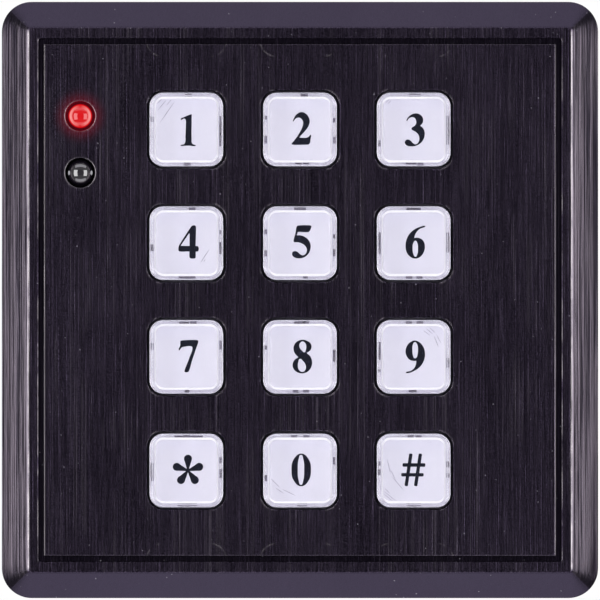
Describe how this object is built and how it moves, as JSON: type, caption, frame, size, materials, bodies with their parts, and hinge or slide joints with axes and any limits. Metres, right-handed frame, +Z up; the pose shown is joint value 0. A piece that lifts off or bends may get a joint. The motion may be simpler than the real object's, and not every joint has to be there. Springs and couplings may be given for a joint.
{
  "type": "keypad access reader",
  "caption": "Square wall-mounted access keypad: brushed black face plate, clear-covered sprung number keys, two status LEDs, rear housing hung on a steel wall plate.",
  "frame": {"origin": "centre of the wall plate's back face, on the wall", "axes": "+Z up the wall, +Y into the wall, +X to the right as seen from the front; the keys face -Y"},
  "size_m": [0.1, 0.0239, 0.1],
  "materials": {
    "anodised_aluminium": "black anodised, brushed lengthwise, satin",
    "clear_polycarbonate": "clear, polished",
    "white_abs": "white, fine satin",
    "legend_film": "white printed film, satin",
    "silicone_rubber": "dark grey, matt",
    "red_led_lens": "clear red, polished",
    "dark_led_lens": "smoky clear, polished",
    "circuit_laminate": "green solder mask, semi-gloss",
    "copper_winding": "enamelled copper wire",
    "black_epoxy": "moulded, matt",
    "capacitor_can": "drawn can, satin",
    "photocell_ceramic": "coated ceramic",
    "terminal_plastic": "moulded, satin",
    "housing_plastic": "fine moulded texture",
    "seal_foam": "closed-cell foam",
    "zinc_steel": "zinc plated sheet",
    "screw_steel": "stainless",
    "black_screw": "black oxide"
  },
  "bodies": {
    "panel": {"face_plate": "anodised_aluminium", "keypad_membrane": "silicone_rubber", "status_led_upper": "red_led_lens", "status_led_lower": "dark_led_lens", "circuit_board": "circuit_laminate", "antenna_coil": "copper_winding", "controller_chip": "black_epoxy", "buzzer": "black_epoxy", "capacitor": "capacitor_can", "tamper_photocell": "photocell_ceramic", "terminal_block": "terminal_plastic", "rear_housing": "housing_plastic", "gasket": "seal_foam", "wall_plate": "zinc_steel", "board_screw_1": "screw_steel", "board_screw_2": "screw_steel", "board_screw_3": "screw_steel", "board_screw_4": "screw_steel", "housing_screw_1": "screw_steel", "housing_screw_2": "screw_steel", "housing_screw_3": "screw_steel", "housing_screw_4": "screw_steel", "security_screw": "black_screw"},
    "key_1": {"key_base_1": "white_abs", "legend_1": "legend_film", "key_cover_1": "clear_polycarbonate"},
    "key_2": {"key_base_2": "white_abs", "legend_2": "legend_film", "key_cover_2": "clear_polycarbonate"},
    "key_3": {"key_base_3": "white_abs", "legend_3": "legend_film", "key_cover_3": "clear_polycarbonate"},
    "key_4": {"key_base_4": "white_abs", "legend_4": "legend_film", "key_cover_4": "clear_polycarbonate"},
    "key_5": {"key_base_5": "white_abs", "legend_5": "legend_film", "key_cover_5": "clear_polycarbonate"},
    "key_6": {"key_base_6": "white_abs", "legend_6": "legend_film", "key_cover_6": "clear_polycarbonate"},
    "key_7": {"key_base_7": "white_abs", "legend_7": "legend_film", "key_cover_7": "clear_polycarbonate"},
    "key_8": {"key_base_8": "white_abs", "legend_8": "legend_film", "key_cover_8": "clear_polycarbonate"},
    "key_9": {"key_base_9": "white_abs", "legend_9": "legend_film", "key_cover_9": "clear_polycarbonate"},
    "key_star": {"key_base_star": "white_abs", "legend_star": "legend_film", "key_cover_star": "clear_polycarbonate"},
    "key_0": {"key_base_0": "white_abs", "legend_0": "legend_film", "key_cover_0": "clear_polycarbonate"},
    "key_hash": {"key_base_hash": "white_abs", "legend_hash": "legend_film", "key_cover_hash": "clear_polycarbonate"}
  },
  "joints": [
    {"name": "key_1_press", "type": "slide", "parent": "panel", "child": "key_1", "axis": [0, 1, 0], "range_m": [0, 0.0012], "stiffness_N_per_m": 900, "springref_m": -0.0003, "deforming": ["keypad_membrane"]},
    {"name": "key_2_press", "type": "slide", "parent": "panel", "child": "key_2", "axis": [0, 1, 0], "range_m": [0, 0.0012], "stiffness_N_per_m": 900, "springref_m": -0.0003, "deforming": ["keypad_membrane"]},
    {"name": "key_3_press", "type": "slide", "parent": "panel", "child": "key_3", "axis": [0, 1, 0], "range_m": [0, 0.0012], "stiffness_N_per_m": 900, "springref_m": -0.0003, "deforming": ["keypad_membrane"]},
    {"name": "key_4_press", "type": "slide", "parent": "panel", "child": "key_4", "axis": [0, 1, 0], "range_m": [0, 0.0012], "stiffness_N_per_m": 900, "springref_m": -0.0003, "deforming": ["keypad_membrane"]},
    {"name": "key_5_press", "type": "slide", "parent": "panel", "child": "key_5", "axis": [0, 1, 0], "range_m": [0, 0.0012], "stiffness_N_per_m": 900, "springref_m": -0.0003, "deforming": ["keypad_membrane"]},
    {"name": "key_6_press", "type": "slide", "parent": "panel", "child": "key_6", "axis": [0, 1, 0], "range_m": [0, 0.0012], "stiffness_N_per_m": 900, "springref_m": -0.0003, "deforming": ["keypad_membrane"]},
    {"name": "key_7_press", "type": "slide", "parent": "panel", "child": "key_7", "axis": [0, 1, 0], "range_m": [0, 0.0012], "stiffness_N_per_m": 900, "springref_m": -0.0003, "deforming": ["keypad_membrane"]},
    {"name": "key_8_press", "type": "slide", "parent": "panel", "child": "key_8", "axis": [0, 1, 0], "range_m": [0, 0.0012], "stiffness_N_per_m": 900, "springref_m": -0.0003, "deforming": ["keypad_membrane"]},
    {"name": "key_9_press", "type": "slide", "parent": "panel", "child": "key_9", "axis": [0, 1, 0], "range_m": [0, 0.0012], "stiffness_N_per_m": 900, "springref_m": -0.0003, "deforming": ["keypad_membrane"]},
    {"name": "key_star_press", "type": "slide", "parent": "panel", "child": "key_star", "axis": [0, 1, 0], "range_m": [0, 0.0012], "stiffness_N_per_m": 900, "springref_m": -0.0003, "deforming": ["keypad_membrane"]},
    {"name": "key_0_press", "type": "slide", "parent": "panel", "child": "key_0", "axis": [0, 1, 0], "range_m": [0, 0.0012], "stiffness_N_per_m": 900, "springref_m": -0.0003, "deforming": ["keypad_membrane"]},
    {"name": "key_hash_press", "type": "slide", "parent": "panel", "child": "key_hash", "axis": [0, 1, 0], "range_m": [0, 0.0012], "stiffness_N_per_m": 900, "springref_m": -0.0003, "deforming": ["keypad_membrane"]}
  ]
}
